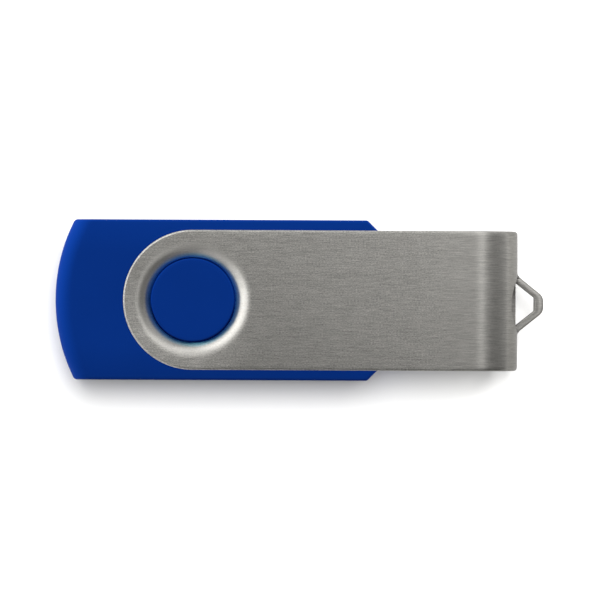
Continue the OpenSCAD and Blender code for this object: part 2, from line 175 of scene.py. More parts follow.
def shade_smooth(mesh, angle=35):
    mesh.polygons.foreach_set("use_smooth", [True] * len(mesh.polygons))
    mesh.set_sharp_from_angle(angle=math.radians(angle))
    mesh.update()


def stand_for(obj, node):
    """Rides the finished piece on the node's body and shows it in the node's place."""
    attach(obj, frame["nodes"][node]["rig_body"])
    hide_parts(node)


def join_rings(bm, rings):
    """Quads between each closed ring of vertices and the next."""
    for low, high in zip(rings, rings[1:]):
        for i in range(len(low)):
            j = (i + 1) % len(low)
            bm.faces.new((low[i], low[j], high[j], high[i]))


def spread(start, end, steps):
    """Evenly spaced values from start to end, both included."""
    return [start + (end - start) * i / steps for i in range(steps + 1)]


def around(angle):
    """Unit vector in plan at this angle from +X."""
    return Vector((math.cos(angle), math.sin(angle)))


# ---------------------------------------------------------------- swivel clip

class Roll:
    """Sheet turned down a quarter turn. Its curvature grows evenly over the share `ramp` of the way
    and then stays the same. Lengths are counted along the sheet from the flat plate."""

    STEPS = 400

    def __init__(self, ramp, fall=None, run=None):
        self.ramp = ramp
        self.rate = (math.pi / 2) / (1 - ramp / 2)
        self.table = [(0.0, 0.0)]
        for i in range(self.STEPS):
            angle = self.turn((i + 0.5) / self.STEPS)
            x, z = self.table[-1]
            self.table.append((x + math.cos(angle) / self.STEPS, z + math.sin(angle) / self.STEPS))
        x, z = self.table[-1]
        self.length = fall / z if fall else run / x
        self.run = self.length * x
        self.fall = self.length * z

    def turn(self, share):
        if share < self.ramp:
            return self.rate * share * share / (2 * self.ramp)
        return self.rate * (share - self.ramp / 2)

    def at(self, length):
        """Run, fall and angle at this length along the roll."""
        share = min(max(length / self.length, 0.0), 1.0)
        place = share * self.STEPS
        i = min(int(place), self.STEPS - 1)
        (x0, z0), (x1, z1) = self.table[i], self.table[i + 1]
        t = place - i
        return self.length * (x0 + (x1 - x0) * t), self.length * (z0 + (z1 - z0) * t), self.turn(share)


bend = Roll(BEND_RAMP, fall=BEND_FALL)
lip = Roll(LIP_RAMP, run=LIP_OUTER_RADIUS - LIP_HOLE_RADIUS)
wall_half = top_z - mid_z - bend.fall
plate_start = wall_half + bend.length
# Height of the opening above the middle, measured along the sheet over the bend
opening_reach = wall_half + BEND_FALL * math.asin((OPENING_RISE - wall_half) / BEND_FALL)


def loop_lean():
    """Angle of the loop's arms to the clip's centre line, and where they touch the rounded tip."""
    centre = Vector((LOOP_REACH - LOOP_TIP_RADIUS, LOOP_TIP_HALF))
    run = centre - Vector((0, LOOP_ROOT))
    lean = math.atan2(-run.y, run.x) - math.asin(LOOP_TIP_RADIUS / run.length)
    return lean, centre


def draw_out(y, s):
    """How far the loop's root pulls the end wall out at this place, and the slope there."""
    lean, _ = loop_lean()
    start = LOOP_ROOT + LOOP_FILLET * math.tan((math.pi / 2 - lean) / 2)
    into = start - abs(y - LOOP_Y)
    if into <= 0:
        return 0.0, 0.0
    into = min(into, LOOP_FILLET * math.cos(lean))
    fade = (ROOT_FADE_END - abs(s) / LOOP_HALF_HEIGHT) / (ROOT_FADE_END - 1)
    fade = min(max(fade, 0.0), 1.0)
    fade = fade * fade * (3 - 2 * fade)
    depth = math.sqrt(LOOP_FILLET ** 2 - into ** 2)
    side = 1 if y > LOOP_Y else -1
    return (LOOP_FILLET - depth) * fade, side * into / depth * fade


def on_strip(s, y):
    """Outer and inner point of the folded strip, s along the sheet from the middle of its end wall."""
    if s <= wall_half:
        out, slope = draw_out(y, s)
        normal = Vector((1, slope, 0)).normalized()
        outer = Vector((fold_x + out, y, mid_z + s))
    else:
        run, fall, angle = bend.at(plate_start - s)
        beyond = max(s - plate_start, 0.0)
        normal = Vector((math.sin(angle), 0, math.cos(angle)))
        outer = Vector((fold_x - bend.run + run - beyond, y, top_z - fall))
    return outer, outer - sheet * normal


def on_plate(x, y):
    outer = Vector((pivot.x + x, pivot.y + y, top_z))
    return outer, outer - Vector((0, 0, sheet))


def on_lip(length, angle):
    """Outer and inner point of the lip, at a length along the roll and an angle round the boss."""
    run, fall, turn = lip.at(length)
    fall += max(length - lip.length, 0.0)
    radius = LIP_OUTER_RADIUS - run
    away = Vector((math.cos(angle), math.sin(angle), 0))
    normal = Vector((0, 0, 1)) * math.cos(turn) - away * math.sin(turn)
    outer = Vector((pivot.x, pivot.y, top_z - fall)) + away * radius
    return outer, outer - sheet * normal


# The clip's grid leaves out a square patch round the opening, which has its own faces. The patch's
# first rows run out from the rows of the loop's strip
PATCH_HALF_WIDTH = 4.6 * MM
PATCH_REACH = 4.6 * MM
STRIP_ROWS = 3
STRIP_BAND = 1.3 * MM
PATCH_ROWS = spread(0, STRIP_BAND, STRIP_ROWS) + spread(STRIP_BAND, PATCH_REACH, 9)[1:]


def clip_columns():
    """Places across the clip where the long rows of its grid run. The opening's patch ends on two."""
    patch = PATCH_HALF_WIDTH
    return (
        spread(-clip_half_width, LOOP_Y - patch, 6)[:-1]
        + spread(LOOP_Y - patch, LOOP_Y + patch, 32)
        + spread(LOOP_Y + patch, clip_half_width, 7)[1:]
    )


def lip_and_round_end(quads):
    """The rolled lip, and the plate round it out to the clip's round end and its sides."""
    reach = clip_half_width
    right = [Vector((reach, y)) for y in clip_columns()]
    top = [Vector((x, reach)) for x in spread(reach, 0, 20)][1:]
    back = [around(a) * reach for a in spread(TAU / 4, 3 * TAU / 4, 96)][1:]
    bottom = [Vector((x, -reach)) for x in spread(0, reach, 20)][1:-1]
    rim = right + top + back + bottom
    angles = [math.atan2(p.y, p.x) for p in rim]
    straight = LIP_DEPTH - lip.fall
    lengths = [lip.length + straight] + spread(lip.length, 0, 26)
    rings = [[on_lip(length, a) for a in angles] for length in lengths]
    for share in spread(0, 1, 5)[1:]:
        ring = []
        for p, a in zip(rim, angles):
            place = (around(a) * LIP_OUTER_RADIUS).lerp(p, share)
            ring.append(on_plate(place.x, place.y))
        rings.append(ring)
    for low, high in zip(rings, rings[1:]):
        for i in range(len(rim)):
            j = (i + 1) % len(rim)
            quads.append((low[i], high[i], high[j], low[j]))


def strip_quads(quads, rows, columns):
    """The grid of the folded strip between these rows along it and columns across it."""
    for s0, s1 in zip(rows, rows[1:]):
        for y0, y1 in zip(columns, columns[1:]):
            quads.append((on_strip(s0, y0), on_strip(s1, y0), on_strip(s1, y1), on_strip(s0, y1)))


def plate_and_bend(quads):
    """The long grid from the plate over the bend, and the end wall on both sides of the opening."""
    columns = clip_columns()
    far = fold_x - bend.run + plate_start - (pivot.x + clip_half_width)
    strip_quads(quads, spread(far, plate_start, 14)[:-1] + spread(plate_start, PATCH_REACH, 34), columns)
    beside = [c for c in columns if abs(c - LOOP_Y) >= PATCH_HALF_WIDTH - SAME]
    for side in ([c for c in beside if c < LOOP_Y], [c for c in beside if c > LOOP_Y]):
        strip_quads(quads, PATCH_ROWS[::-1], side)


class Rim:
    """Half of the opening's rim, from one side of the strip's middle line round to the other. Above
    the loop it is half an ellipse; below, a larger power makes it nearly a rectangle."""

    def __init__(self, reach, power):
        self.reach = reach
        self.power = power

    def at(self, turn):
        """Distance from the middle line, measured along the sheet, and the place across the clip."""
        s = self.reach * abs(math.sin(turn)) ** (2 / self.power)
        y = OPENING_HALF_WIDTH * abs(math.cos(turn)) ** (2 / self.power)
        return s, LOOP_Y + math.copysign(y, math.cos(turn))

    def turn_at(self, s):
        return math.asin((s / self.reach) ** (self.power / 2))

    def strip_turns(self):
        """Turns at which the loop's strip has its rows."""
        return [self.turn_at(LOOP_HALF_HEIGHT * i / STRIP_ROWS) for i in range(STRIP_ROWS + 1)]


upper_rim = Rim(opening_reach, 2)
lower_rim = Rim(OPENING_DROP, OPENING_SQUARENESS)


def opening_patch(quads, rim):
    """The sheet between the opening's rim and the square patch round it."""
    corner_turn = math.radians(50)
    inside = [c for c in clip_columns() if abs(c - LOOP_Y) <= PATCH_HALF_WIDTH + SAME]
    strip_turns = rim.strip_turns()
    free_rows = len(PATCH_ROWS) - 1 - STRIP_ROWS
    side_turns = strip_turns + spread(strip_turns[-1], corner_turn, free_rows)[1:]
    top_turns = spread(corner_turn, math.pi - corner_turn, len(inside) - 1)[1:-1]
    turns = side_turns + top_turns + [math.pi - t for t in side_turns[::-1]]
    border = (
        [(s, LOOP_Y + PATCH_HALF_WIDTH) for s in PATCH_ROWS]
        + [(PATCH_REACH, y) for y in inside[::-1][1:-1]]
        + [(s, LOOP_Y - PATCH_HALF_WIDTH) for s in PATCH_ROWS[::-1]]
    )
    rings = []
    for share in spread(0, 1, 8):
        ring = []
        for t, (s1, y1) in zip(turns, border):
            s0, y0 = rim.at(t)
            ring.append(on_strip(s0 + (s1 - s0) * share, y0 + (y1 - y0) * share))
        rings.append(ring)
    for low, high in zip(rings, rings[1:]):
        for i in range(len(turns) - 1):
            quads.append((low[i], high[i], high[i + 1], low[i + 1]))


def loop_path():
    """Outer and inner points of the loop in plan, from its root at +Y to the middle of its tip."""
    lean, centre = loop_lean()
    across = Vector((math.sin(lean), math.cos(lean)))
    touch = centre + LOOP_TIP_RADIUS * across
    along = Vector((math.cos(lean), -math.sin(lean)))
    fillet_y = LOOP_ROOT + LOOP_FILLET * math.tan((math.pi / 2 - lean) / 2)
    leave = Vector((LOOP_FILLET, fillet_y)) - LOOP_FILLET * across
    inner_tip = LOOP_REACH - LOOP_TIP_THICKNESS
    # The inner corner touches both the inner face of the arm and that of the tip
    reach = touch - (sheet + LOOP_INNER_RADIUS) * across
    inner_x = inner_tip - LOOP_INNER_RADIUS
    inner_centre = reach + along * ((inner_x - reach.x) / along.x)
    arm_end = inner_centre + LOOP_INNER_RADIUS * across
    path = []
    for share in spread(0, 1, 6)[:-1]:
        outer = leave.lerp(touch, share)
        start = leave - sheet * across
        path.append((outer, start.lerp(arm_end, share)))
    for angle in spread(lean, math.pi / 2, 6):
        # Angle 0 looks across the clip, a quarter turn looks along it
        way = Vector((math.sin(angle), math.cos(angle)))
        path.append((centre + LOOP_TIP_RADIUS * way, inner_centre + LOOP_INNER_RADIUS * way))
    path.append((Vector((LOOP_REACH, 0)), Vector((inner_tip, 0))))
    return path


def cord_loop(quads, rim):
    """The strip across the opening, pressed out into a trapezoid loop."""
    half = loop_path()
    path = half + [(Vector((o.x, -o.y)), Vector((i.x, -i.y))) for o, i in half[-2::-1]]
    rows = []
    for turn in rim.strip_turns():
        s, rim_y = rim.at(turn)
        row = [on_strip(s, rim_y)]
        for outer, inner in path:
            row.append(tuple(Vector((fold_x + p.x, LOOP_Y + p.y, mid_z + s)) for p in (outer, inner)))
        row.append(on_strip(s, 2 * LOOP_Y - rim_y))
        rows.append(row)
    for low, high in zip(rows, rows[1:]):
        for i in range(len(low) - 1):
            quads.append((low[i], high[i], high[i + 1], low[i + 1]))


# Bevel widths of the clip's edges. The first is that of the folded end's sides
CLIP_BEVEL = 0.4 * MM
OUTER_EDGE = 0.24 * MM
INNER_EDGE = 0.12 * MM
OPENING_EDGE = 0.14 * MM
LOWER_OPENING_EDGE = 0.05 * MM


def edge_round(place, outer_skin):
    """Rounding of the sheet's edge at this place, as a share of the clip's bevel."""
    if not outer_skin:
        return INNER_EDGE / CLIP_BEVEL
    in_from_side = clip_half_width - abs(place.y)
    if in_from_side > OUTER_EDGE and place.x > pivot.x + LIP_OUTER_RADIUS:
        below_loop = place.z < mid_z - LOOP_HALF_HEIGHT
        return (LOWER_OPENING_EDGE if below_loop else OPENING_EDGE) / CLIP_BEVEL
    if (place - pivot).xy.length < LIP_OUTER_RADIUS:
        return INNER_EDGE / CLIP_BEVEL
    near = min(max((place.x - (fold_x - bend.run)) / bend.run, 0.0), 1.0)
    return (OUTER_EDGE + (CLIP_BEVEL - OUTER_EDGE) * near ** 3) / CLIP_BEVEL


def mirrored(quad):
    """The same quad in the lower half of the clip, turned to face out."""
    return [tuple(Vector((p.x, p.y, 2 * mid_z - p.z)) for p in pair) for pair in reversed(quad)]


def clip_quads():
    """All faces of the clip's outer skin, as corners that each hold an outer and an inner point."""
    quads = []
    lip_and_round_end(quads)
    plate_and_bend(quads)
    below = list(quads)
    for half, rim in ((quads, upper_rim), (below, lower_rim)):
        opening_patch(half, rim)
        cord_loop(half, rim)
    return quads + [mirrored(quad) for quad in below]


def sheet_mesh(quads):
    """Closes the outer skin with an inner one and with the sheet's cut edges."""
    bm = bmesh.new()
    inner_of = bm.verts.layers.float_vector.new("inner")
    for quad in quads:
        corners = []
        for outer, inner in quad:
            vert = bm.verts.new(outer)
            vert[inner_of] = inner
            corners.append(vert)
        bm.faces.new(corners)
    bmesh.ops.remove_doubles(bm, verts=bm.verts, dist=CLIP_WELD)

    outer_faces = list(bm.faces)
    rim_loops = [e.link_loops[0] for e in bm.edges if e.is_boundary]
    rim = [(loop.vert, loop.link_loop_next.vert) for loop in rim_loops]
    twin = {v: bm.verts.new(v[inner_of]) for v in list(bm.verts)}
    for face in outer_faces:
        bm.faces.new([twin[v] for v in reversed(face.verts)])
    weight = bm.edges.layers.float.new("bevel_weight_edge")
    for a, b in rim:
        bm.faces.new((b, a, twin[a], twin[b]))
        middle = (a.co + b.co) / 2
        bm.edges.get((a, b))[weight] = edge_round(middle, True)
        bm.edges.get((twin[a], twin[b]))[weight] = edge_round(middle, False)
    bm.verts.layers.float_vector.remove(inner_of)

    mesh = bpy.data.meshes.new("clip_sheet")
    bm.to_mesh(mesh)
    bm.free()
    mesh.polygons.foreach_set("use_smooth", [True] * len(mesh.polygons))
    return mesh


def swivel_clip():
    clip = bpy.data.objects.new("clip_sheet", sheet_mesh(clip_quads()))
    bpy.context.scene.collection.objects.link(clip)
    rounding = clip.modifiers.new("rounded_edges", "BEVEL")
    rounding.limit_method = "WEIGHT"
    rounding.width = CLIP_BEVEL
    rounding.segments = 4
    rounding.use_clamp_overlap = False
    rounding.miter_outer = "MITER_SHARP"
    even = clip.modifiers.new("even_shading", "WEIGHTED_NORMAL")
    even.keep_sharp = False
    even.weight = 60
    return clip


# ---------------------------------------------------------------- housing

# Crown: the broad faces curve down over this strip beside each straight side, by this much
CROWN_RUN = 4.0 * MM
CROWN_FALL = 0.3 * MM
SIDE_EDGE_RADIUS = 0.28 * MM
FRONT_CORNER_RADIUS = 0.45 * MM
GROOVE_FILLET = 0.22 * MM
BOSS_EDGE = 0.1 * MM
PARTING_LINE_DEPTH = 0.12 * MM
PARTING_LINE_HALF = 0.14 * MM
# Height of the straight band of wall beside the parting line
WALL_BAND = 1.2 * MM
# Corners of the outline keep at least this radius when it is moved in
SMALLEST_RADIUS = 0.05 * MM
# Rings between the groove and the rim, and round the rim
FACE_RINGS = 40
RIM_RINGS = 9

arc_centre = Vector((back_x + BACK_ARC_RADIUS, 0))
half_thickness = housing_top - mid_z


def arc(centre, radius, start, end, steps):
    return [centre + radius * around(a) for a in spread(start, end, steps)]


def half_outline(inset):
    """Plan outline of the housing at +Y, from the front's middle to the back's, moved in by inset.
    Each point also has a weight: 1 on the back arc, 0 elsewhere, and a blend on its corner."""
    side = housing_half_width - inset
    front = front_x - inset
    leg = FRONT_CHAMFER - inset * (2 - math.sqrt(2))
    corner = max(FRONT_CORNER_RADIUS - inset, SMALLEST_RADIUS)
    cut_back = corner * math.tan(math.pi / 8)
    big = BACK_ARC_RADIUS - inset
    small = max(BACK_CORNER_RADIUS - inset, SMALLEST_RADIUS)
    back_y = side - small
    back_centre = Vector((arc_centre.x - math.sqrt((big - small) ** 2 - back_y ** 2), back_y))
    meet = (back_centre - arc_centre).to_2d()
    meet_angle = math.atan2(meet.y, meet.x)

    lower = Vector((front - corner, side - leg - cut_back))
    upper = Vector((front - leg - cut_back, side - corner))
    points = [Vector((front, y)) for y in spread(0, lower.y, 18)][:-1]
    points += arc(lower, corner, 0, math.pi / 4, 4)
    points += arc(upper, corner, math.pi / 4, math.pi / 2, 4)
    # Closer together towards the back corner, where the face falls away
    shares = [1 - (1 - t) ** 2 for t in spread(0, 1, 56)]
    points += [Vector((upper.x + (back_centre.x - upper.x) * t, side)) for t in shares[1:-1]]
    weights = [0.0] * len(points)
    corner_steps = 8
    points += arc(back_centre, small, math.pi / 2, meet_angle, corner_steps)
    weights += [i / corner_steps for i in range(corner_steps + 1)]
    rest = arc(arc_centre, big, meet_angle, math.pi, 34)[1:]
    points += rest
    weights += [1.0] * len(rest)
    return points, weights


def outline(inset):
    """The whole plan outline, once round from the front's middle."""
    points, weights = half_outline(inset)
    points = points + [Vector((p.x, -p.y)) for p in points[-2:0:-1]]
    weights = weights + weights[-2:0:-1]
    return points, weights


def face_height(p):
    """Height of the broad face above the middle plane: crowned at the sides, rounded at the back."""
    height = half_thickness - SKIN
    into = abs(p.y) - (housing_half_width - CROWN_RUN)
    if into > 0:
        height -= CROWN_FALL * (into / CROWN_RUN) ** 2
    edge = BACK_ARC_RADIUS - SKIN - (p - arc_centre).length
    if p.x < arc_centre.x and edge < BACK_EDGE_RADIUS:
        beyond = min(BACK_EDGE_RADIUS - edge, BACK_EDGE_RADIUS)
        height -= BACK_EDGE_RADIUS - math.sqrt(BACK_EDGE_RADIUS ** 2 - beyond ** 2)
    return height


def boss_and_groove(angles):
    """Rings from the middle of the boss out to the edge of the ring groove, for the upper half."""
    centre = Vector((pivot.x, pivot.y))
    top = half_thickness + BOSS_RISE - SKIN
    floor = half_thickness - GROOVE_DEPTH - SKIN
    boss = BOSS_RADIUS - SKIN
    groove = GROOVE_RADIUS + SKIN
    fillet = GROOVE_FILLET
    small = fillet / 2
    profile = [(boss * share, top) for share in (0.25, 0.5, 0.75, 0.9)]
    profile += [(boss - BOSS_EDGE * (1 - math.sin(a)), top - BOSS_EDGE * (1 - math.cos(a)))
                for a in spread(0, math.pi / 2, 5)]
    profile += [(boss + small * (1 - math.cos(a)), floor + small * (1 - math.sin(a)))
                for a in spread(0, math.pi / 2, 3)]
    profile += [(groove - small * (1 - math.sin(a)), floor + small * (1 - math.cos(a)))
                for a in spread(0, math.pi / 2, 3)]
    rings = [[(centre + r * around(a), z) for a in angles] for r, z in profile]
    for a in spread(0, math.pi / 2, 5):
        radius = groove + fillet * (1 - math.cos(a))
        drop = fillet * (1 - math.sin(a))
        places = [centre + radius * around(angle) for angle in angles]
        rings.append([(place, face_height(place) - drop) for place in places])
    return rings


def broad_face(start_ring, weights):
    """Rings from the groove's edge over the face and its rounded edge to the parting line."""
    rings = []
    rims = []
    for turn in spread(math.pi / 2, 0, RIM_RINGS):
        inset = SIDE_EDGE_RADIUS * (1 - math.cos(turn)) + SKIN
        side_fall = SIDE_EDGE_RADIUS * (1 - math.sin(turn))
        places = outline(inset)[0]
        rims.append([(p, face_height(p) - (1 - w) * side_fall) for p, w in zip(places, weights)])
    # Rings closer together towards the rim, where the face falls away
    for share in [1 - (1 - t) ** 1.5 for t in spread(0, 1, FACE_RINGS)[1:-1]]:
        places = [start.lerp(end, share) for (start, _), (end, _) in zip(start_ring, rims[0])]
        rings.append([(place, face_height(place)) for place in places])
    rings += rims
    shallow = outline(SKIN)[0]
    deep = outline(SKIN + PARTING_LINE_DEPTH)[0]
    rings.append([(p, PARTING_LINE_HALF + WALL_BAND) for p in shallow])
    rings.append([(p, PARTING_LINE_HALF) for p in shallow])
    rings.append([(p, PARTING_LINE_HALF / 3) for p in deep])
    return rings


def housing_skin():
    """Closed outer skin of both shells together, with a groove along their parting line."""
    points, weights = outline(0)
    angles = [math.atan2(p.y - pivot.y, p.x - pivot.x) for p in points]
    rings = boss_and_groove(angles)
    rings += broad_face(rings[-1], weights)
    bm = bmesh.new()
    layers = []
    for side in (1, -1):
        made = [[bm.verts.new((p.x, p.y, mid_z + side * z)) for p, z in ring] for ring in rings]
        hub = bm.verts.new((pivot.x, pivot.y, mid_z + side * rings[0][0][1]))
        first = made[0]
        for i in range(len(first)):
            bm.faces.new((hub, first[i], first[(i + 1) % len(first)]))
        join_rings(bm, made)
        layers.append(made[-1])
    join_rings(bm, layers)
    bmesh.ops.triangulate(bm, faces=bm.faces, quad_method="SHORT_EDGE")
    return finish_mesh(bm, "housing_skin")


def shell(node, skin):
    """One shell: the housing's outer skin cut down to the CAD shell, which gives all of its inside."""
    inside = frame["nodes"][node].data.copy()
    bm = bmesh.new()
    bm.from_mesh(inside)
    bmesh.ops.remove_doubles(bm, verts=bm.verts, dist=WELD)
    bm.to_mesh(inside)
    bm.free()
    cutter = bpy.data.objects.new(node + "_inside", inside)
    bpy.context.scene.collection.objects.link(cutter)
    shape = bpy.data.objects.new(node + "_skin", skin.data.copy())
    bpy.context.scene.collection.objects.link(shape)
    common = shape.modifiers.new("cut", "BOOLEAN")
    common.operation = "INTERSECT"
    common.solver = "EXACT"
    common.object = cutter
    bpy.context.view_layer.update()
    depsgraph = bpy.context.evaluated_depsgraph_get()
    mesh = bpy.data.meshes.new_from_object(shape.evaluated_get(depsgraph))
    bpy.data.objects.remove(shape)
    bpy.data.objects.remove(cutter)
    mesh.name = node + "_moulding"
    mesh.materials.clear()
    shade_smooth(mesh, 30)
    obj = bpy.data.objects.new(node + "_moulding", mesh)
    bpy.context.scene.collection.objects.link(obj)
    return obj


# ---------------------------------------------------------------- node trees

class Tree:
    """Short calls for building a node tree."""

    def __init__(self, tree):
        self.tree = tree

    def node(self, kind, **settings):
        made = self.tree.nodes.new("ShaderNode" + kind)
        for key, value in settings.items():
            setattr(made, key, value)
        return made

    def link(self, source, target):
        self.tree.links.new(source, target)

    def put(self, value, socket):
        """Feeds a socket with a number or with another node's output."""
        if isinstance(value, bpy.types.NodeSocket):
            self.link(value, socket)
        else:
            socket.default_value = value

    def place(self, scale):
        """The piece's own coordinates, multiplied by a scale for each axis."""
        coordinates = self.node("TexCoord")
        mapping = self.node("Mapping", vector_type="POINT")
        mapping.inputs["Scale"].default_value = scale
        self.link(coordinates.outputs["Object"], mapping.inputs["Vector"])
        return mapping.outputs["Vector"]

    def axis(self, name):
        """The piece's own coordinate along one axis, in metres."""
        split = self.node("SeparateXYZ")
        self.link(self.place((1, 1, 1)), split.inputs[0])
        return split.outputs[name]

    def noise(self, scale, detail=2.0, roughness=0.5):
        """Noise whose cells are about 1 / scale metres across on each axis."""
        noise = self.node("TexNoise")
        noise.inputs["Scale"].default_value = 1.0
        noise.inputs["Detail"].default_value = detail
        noise.inputs["Roughness"].default_value = roughness
        self.link(self.place(scale), noise.inputs["Vector"])
        return noise.outputs["Fac"]

    def remap(self, value, low, high, start=0.25, end=0.75):
        """A value from start..end stretched to low..high."""
        ranged = self.node("MapRange")
        self.link(value, ranged.inputs["Value"])
        ranged.inputs["From Min"].default_value = start
        ranged.inputs["From Max"].default_value = end
        ranged.inputs["To Min"].default_value = low
        ranged.inputs["To Max"].default_value = high
        return ranged.outputs["Result"]

    def math(self, operation, *values):
        made = self.node("Math", operation=operation)
        for socket, value in zip(made.inputs, values):
            self.put(value, socket)
        return made.outputs[0]

    def product(self, first, *others):
        for other in others:
            first = self.math("MULTIPLY", first, other)
        return first

    def square(self, value, centre):
        offset = self.math("SUBTRACT", value, centre)
        return self.product(offset, offset)

    def tint(self, colour, factor):
        """A colour made lighter or darker by a factor."""
        scaled = self.node("VectorMath", operation="SCALE")
        scaled.inputs[0].default_value = colour
        self.link(factor, scaled.inputs["Scale"])
        return scaled.outputs[0]

    def mix(self, share, first, second):
        """The first colour where the share is 0, the second where it is 1."""
        blend = self.node("Mix", data_type="RGBA")
        self.link(share, blend.inputs["Factor"])
        self.link(first, blend.inputs[6])
        self.link(second, blend.inputs[7])
        return blend.outputs[2]


class Nodes(Tree):
    """The node tree of one new material."""

    def __init__(self, name):
        self.material = bpy.data.materials.new(name)
        self.material.use_nodes = True
        super().__init__(self.material.node_tree)
        self.shader = self.tree.nodes["Principled BSDF"]

    def set(self, **inputs):
        """Sets the shader's inputs, each to a number or to another node's output."""
        for key, value in inputs.items():
            self.put(value, self.shader.inputs[key.replace("_", " ")])

    def bump(self, height, distance):
        bump = self.node("Bump")
        bump.inputs["Distance"].default_value = distance
        self.link(height, bump.inputs["Height"])
        self.link(bump.outputs["Normal"], self.shader.inputs["Normal"])


# ---------------------------------------------------------------- materials


def linear(red, green, blue):
    """A display colour, 0 to 255, as the renderer's linear light."""
    def channel(value):
        value /= 255
        return value / 12.92 if value <= 0.04045 else ((value + 0.055) / 1.055) ** 2.4
    return channel(red), channel(green), channel(blue)


# Most values of a noise lie between these
NOISE_SPREAD = (0.36, 0.64)
# Contrast of the clip's brushing, and how much of it is left on the lip and on the bend
LONG_STREAKS = 0.22
SHORT_STREAKS = 0.26
STREAKS_ON_LIP = 0.3
SHORT_STREAKS_ON_BEND = 0.25
# The lip carries a painted highlight, brighter than the plate on the sides of the boss that its slant
# picks, and the change from one side to the other takes twice LIP_TURN. The painted highlight starts
# over LIP_BLEND, and the lip's deepest part is frosted and carries a painted reflection of the boss over
# LIP_FROST_AND_REFLECTION
LIP_PAINTED_HIGHLIGHT = 2.0
LIP_SLANT = 0.5
LIP_TURN = 2.5 * MM
LIP_BLEND = 0.65 * MM
LIP_FROST_AND_REFLECTION = 0.9 * MM
# A painted highlight lies on the flat plate round the lip, out to this radius, as a slight dish there
# would catch
PLATE_PAINTED_HIGHLIGHT = 1.5
PLATE_HIGHLIGHT_RADIUS = 10.0 * MM


def painted_lip_highlights(m, from_pivot, formed):
    """Painted highlights on the lip and on the plate round it, against the rest of the flat plate."""
    sideways = m.math("MULTIPLY", m.math("SUBTRACT", m.axis("X"), pivot.x), LIP_SLANT)
    lit = m.math("SUBTRACT", sideways, m.axis("Y"))
    lip_shine = m.remap(lit, 0.0, LIP_PAINTED_HIGHLIGHT - 1.0, -LIP_TURN, LIP_TURN)
    # painted highlight on the plate round the lip, fading outwards and strongest on one side
    highlight_falloff = m.remap(from_pivot, PLATE_PAINTED_HIGHLIGHT - 1.0, 0.0, LIP_OUTER_RADIUS, PLATE_HIGHLIGHT_RADIUS)
    faced = m.math("SUBTRACT", m.math("MULTIPLY", sideways, -1.0), m.axis("Y"))
    flat = m.math("SUBTRACT", 1.0, formed)
    plate_highlight = m.product(highlight_falloff, m.remap(faced, 0.0, 1.0, 0.0, LIP_OUTER_RADIUS), flat)
    return m.math("ADD", m.math("ADD", 1.0, plate_highlight), m.product(formed, lip_shine))


def clip_metal():
    """Brushed steel: streaks along the clip, darker and lighter by turns, and long soft highlights.
    Painted shade makes it darker towards -Y and lighter towards +Y, and painted highlights and a painted
    reflection of the boss lie on the lip and round it.
    """
    m = Nodes("clip_metal")
    fine = m.noise((0.6 / MM, 12 / MM, 0.6 / MM), detail=4.0, roughness=0.75)
    grain = m.noise((5 / MM, 12 / MM, 5 / MM), detail=2.0, roughness=0.5)
    broad = m.noise((0.06 / MM, 1.3 / MM, 0.06 / MM), detail=2.0)
    cloud = m.noise((0.12 / MM, 0.12 / MM, 0.12 / MM), detail=1.0)
    across_square = m.square(m.axis("Y"), pivot.y)
    from_pivot = m.math("SQRT", m.math("ADD", m.square(m.axis("X"), pivot.x), across_square))
    # The lip is more frosted than the brushed plate, and carries a painted highlight
    formed = m.remap(from_pivot, 1.0, 0.0, LIP_OUTER_RADIUS - LIP_BLEND, LIP_OUTER_RADIUS)
    frosted = m.remap(from_pivot, 1.0, 0.0, LIP_HOLE_RADIUS, LIP_HOLE_RADIUS + LIP_FROST_AND_REFLECTION)
    unformed = m.remap(formed, 1.0, STREAKS_ON_LIP, 0.0, 1.0)
    bend_x = fold_x - bend.run
    unbent = m.remap(m.axis("X"), 1.0, SHORT_STREAKS_ON_BEND, bend_x - bend.run, bend_x)
    long_streaks = m.remap(fine, -LONG_STREAKS, LONG_STREAKS, *NOISE_SPREAD)
    short_streaks = m.remap(grain, -SHORT_STREAKS, SHORT_STREAKS, *NOISE_SPREAD)
    streaks = m.math("ADD", long_streaks, m.product(short_streaks, unbent))
    tone = m.product(
        m.math("ADD", m.product(streaks, unformed), 1.0),
        m.remap(broad, 0.97, 1.03),
        m.remap(cloud, 0.98, 1.02),
        # painted shade: the clip is darker towards -Y and lighter towards +Y, where the light comes from
        m.remap(m.axis("Y"), 0.84, 1.12, -clip_half_width, clip_half_width),
        # painted highlights on the lip and on the plate round it
        painted_lip_highlights(m, from_pivot, formed),
    )
    # Painted reflection: the deepest part of the lip takes the blue of the boss beside it, and is less
    # metallic there so that the blue shows
    steel = m.tint(linear(187, 185, 180), tone)
    painted_boss_reflection = m.tint(linear(110, 190, 205), tone)
    rough_lip = m.math("ADD", m.remap(formed, 0.0, 0.14, 0.0, 1.0), m.remap(frosted, 0.0, 0.3, 0.0, 1.0))
    m.set(
        Base_Color=m.mix(m.remap(frosted, 0.0, 1.0, 0.35, 0.95), steel, painted_boss_reflection),
        Metallic=m.remap(frosted, 1.0, 0.45, 0.0, 1.0),
        Roughness=m.math("ADD", m.remap(fine, 0.27, 0.36), rough_lip),
        Anisotropic=0.88,
    )
    tangent = m.node("VectorTransform", vector_type="VECTOR", convert_from="OBJECT", convert_to="WORLD")
    tangent.inputs["Vector"].default_value = (0, 1, 0)
    m.link(tangent.outputs["Vector"], m.shader.inputs["Tangent"])
    m.bump(fine, 0.0012 * MM)
    return m.material


